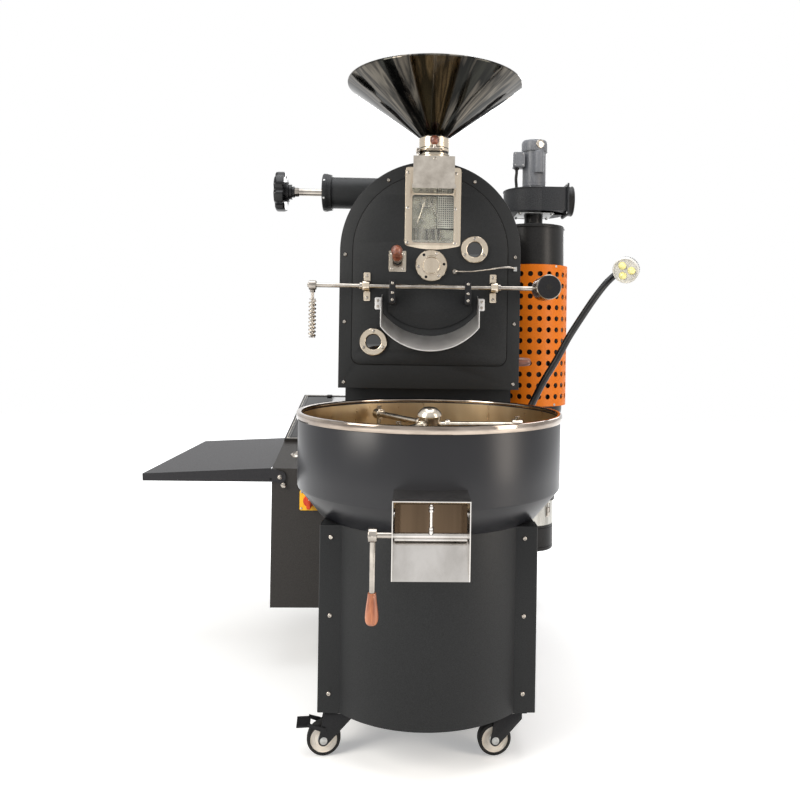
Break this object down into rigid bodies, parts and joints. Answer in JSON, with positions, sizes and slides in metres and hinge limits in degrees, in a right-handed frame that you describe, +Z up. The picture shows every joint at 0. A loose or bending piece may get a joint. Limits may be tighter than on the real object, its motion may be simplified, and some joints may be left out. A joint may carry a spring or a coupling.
{
  "type": "coffee roaster",
  "caption": "Shop coffee roaster on casters with a drum, bean hopper, round cooling tray with stirrer, discharge door, cyclone with blower, control cabinet, folding shelf and work lamp.",
  "frame": {"origin": "middle of the machine's box, at floor level under the caster wheels", "axes": "+Z up, -Y towards the operator at the cooling tray, +X to the right seen from the operator"},
  "size_m": [1.3834, 1.432, 1.622],
  "materials": {
    "black_texture": "fine textured black powder coat",
    "caster_wheel": "black tyre on a cream wheel disc",
    "blower_paint": "dark grey paint",
    "tray_rim_steel": "polished",
    "perforated_steel": "perforated, satin",
    "stirrer_steel": "satin",
    "motor_paint": "semi-gloss grey paint",
    "stainless": "polished stainless",
    "lever_steel": "bright",
    "spring_steel": "bright spring wire",
    "light_wood": "varnished",
    "dark_wood": "varnished wood on steel",
    "drum_iron": "bare",
    "glass": "clear, fire resistant",
    "wheel_plastic": "moulded black",
    "shield_orange": "orange powder coat",
    "chaff_bin_steel": "satin with a black lower half",
    "cable_black": "matt",
    "cabinet_paint": "brown-grey hammered powder coat",
    "screen_glass": "gloss",
    "switch_plastic": "red moulded plastic"
  },
  "bodies": {
    "machine": {"caster_bracket_left": "black_texture", "caster_bracket_right": "black_texture", "base_frame": "black_texture", "front_cover": "black_texture", "tray_shell": "black_texture", "face_plate": "black_texture", "drum_housing": "black_texture", "cyclone": "black_texture", "smoke_pipe": "black_texture", "cooling_blower": "blower_paint", "blower": "blower_paint", "tray_rim": "tray_rim_steel", "tray_floor": "perforated_steel", "thermocouple": "stirrer_steel", "tray_gearmotor": "motor_paint", "drum_gearmotor": "motor_paint", "blower_motor": "motor_paint", "outlet_box": "stainless", "discharge_lip": "stainless", "inlet_box": "stainless", "window_frame": "stainless", "hopper": "stainless", "shaft_strap_left": "stainless", "shaft_strap_right": "stainless", "bearing_cover": "stainless", "sight_glass_upper": "stainless", "sight_glass_lower": "stainless", "burner": "drum_iron", "window_glass": "glass", "heat_shield": "shield_orange", "motor_cable": "cable_black", "control_cabinet": "cabinet_paint", "screen": "screen_glass"},
    "front_caster_left": {"caster_fork_left": "black_texture"},
    "front_caster_right": {"caster_fork_right": "black_texture"},
    "front_wheel_left": {"wheel_front_left": "caster_wheel"},
    "front_wheel_right": {"wheel_front_right": "caster_wheel"},
    "caster_brake": {"brake_pedal": "black_texture"},
    "rear_wheel_left": {"wheel_rear_left": "caster_wheel"},
    "rear_wheel_right": {"wheel_rear_right": "caster_wheel"},
    "stirrer": {"stirrer": "stirrer_steel"},
    "tray_gate": {"gate_flap": "stirrer_steel", "gate_lever": "lever_steel", "lever_grip": "light_wood"},
    "drum": {"drum": "drum_iron"},
    "discharge_door": {"door_shaft": "lever_steel", "door_panel": "black_texture", "door_handle": "lever_steel", "grip_spring": "spring_steel", "counterweight": "black_texture"},
    "sampler": {"sampler": "dark_wood"},
    "feed_gate": {"feed_gate": "dark_wood"},
    "damper_wheel": {"handwheel": "wheel_plastic"},
    "air_pull": {"air_pull": "dark_wood"},
    "chaff_bin": {"chaff_bin": "chaff_bin_steel"},
    "push_button": {"push_button": "lever_steel"},
    "main_switch": {"main_switch": "switch_plastic"},
    "side_shelf": {"side_shelf": "cabinet_paint"},
    "lamp_arm": {"gooseneck": "wheel_plastic"},
    "lamp_head": {"lamp_head": "motor_paint"}
  },
  "joints": [
    {"name": "caster_swivel_left", "type": "hinge", "parent": "machine", "child": "front_caster_left", "pos_m": [-0.09833, -0.443, 0.09], "axis": [0, 0, 1], "continuous": true},
    {"name": "caster_swivel_right", "type": "hinge", "parent": "machine", "child": "front_caster_right", "pos_m": [0.28367, -0.443, 0.09], "axis": [0, 0, 1], "continuous": true},
    {"name": "front_wheel_left_roll", "type": "hinge", "parent": "front_caster_left", "child": "front_wheel_left", "pos_m": [-0.13612, -0.44697, 0.0375], "axis": [-0.1045, 0.9945, 0], "continuous": true},
    {"name": "front_wheel_right_roll", "type": "hinge", "parent": "front_caster_right", "child": "front_wheel_right", "pos_m": [0.24588, -0.44697, 0.0375], "axis": [-0.1045, 0.9945, 0], "continuous": true},
    {"name": "caster_brake_press", "type": "hinge", "parent": "front_caster_left", "child": "caster_brake", "pos_m": [-0.13612, -0.44697, 0.0635], "axis": [0.1045, -0.9945, 0], "range_deg": [0, 10]},
    {"name": "rear_wheel_left_roll", "type": "hinge", "parent": "machine", "child": "rear_wheel_left", "pos_m": [-0.09833, 0.48, 0.0375], "axis": [1, 0, 0], "continuous": true},
    {"name": "rear_wheel_right_roll", "type": "hinge", "parent": "machine", "child": "rear_wheel_right", "pos_m": [0.28367, 0.48, 0.0375], "axis": [1, 0, 0], "continuous": true},
    {"name": "stirrer_turn", "type": "hinge", "parent": "machine", "child": "stirrer", "pos_m": [0.09267, -0.3, 0.722], "axis": [0, 0, 1], "continuous": true},
    {"name": "tray_gate_lift", "type": "hinge", "parent": "machine", "child": "tray_gate", "pos_m": [0.09267, -0.68, 0.553], "axis": [1, 0, 0], "range_deg": [0, 38]},
    {"name": "drum_turn", "type": "hinge", "parent": "machine", "child": "drum", "pos_m": [0.09517, 0.22, 1.1325], "axis": [0, 1, 0], "continuous": true},
    {"name": "discharge_door_lift", "type": "hinge", "parent": "machine", "child": "discharge_door", "pos_m": [0.09267, -0.083, 1.0707], "axis": [-1, 0, 0], "range_deg": [0, 75]},
    {"name": "sampler_pull", "type": "slide", "parent": "machine", "child": "sampler", "axis": [0, -0.9659, 0.2588], "range_m": [0, 0.12]},
    {"name": "feed_gate_pull", "type": "slide", "parent": "machine", "child": "feed_gate", "axis": [0, -1, 0], "range_m": [0, 0.06]},
    {"name": "damper_wheel_turn", "type": "hinge", "parent": "machine", "child": "damper_wheel", "pos_m": [-0.35433, 0.212, 1.376], "axis": [1, 0, 0], "continuous": true},
    {"name": "air_pull_slide", "type": "slide", "parent": "machine", "child": "air_pull", "axis": [1, 0, 0], "range_m": [0, 0.04]},
    {"name": "chaff_bin_drop", "type": "slide", "parent": "machine", "child": "chaff_bin", "axis": [0, 0, -1], "range_m": [0, 0.12]},
    {"name": "push_button_press", "type": "slide", "parent": "machine", "child": "push_button", "axis": [0, 0.2456, -0.9694], "range_m": [0, 0.004], "stiffness_N_per_m": 500, "springref_m": -0.002},
    {"name": "main_switch_turn", "type": "hinge", "parent": "machine", "child": "main_switch", "pos_m": [-0.23233, -0.05, 0.476], "axis": [0, 1, 0], "range_deg": [0, 90]},
    {"name": "side_shelf_fold", "type": "hinge", "parent": "machine", "child": "side_shelf", "pos_m": [-0.31533, 0.259, 0.54], "axis": [0, -1, 0], "range_deg": [0, 87]},
    {"name": "lamp_arm_swing", "type": "hinge", "parent": "machine", "child": "lamp_arm", "pos_m": [0.34767, 0.037, 0.62], "axis": [0, 0, 1], "range_deg": [-50, 45]},
    {"name": "lamp_head_tilt", "type": "hinge", "parent": "lamp_arm", "child": "lamp_head", "pos_m": [0.67167, 0.026, 1.149], "axis": [0.8767, -0.4811, 0], "range_deg": [-20, 20]}
  ]
}
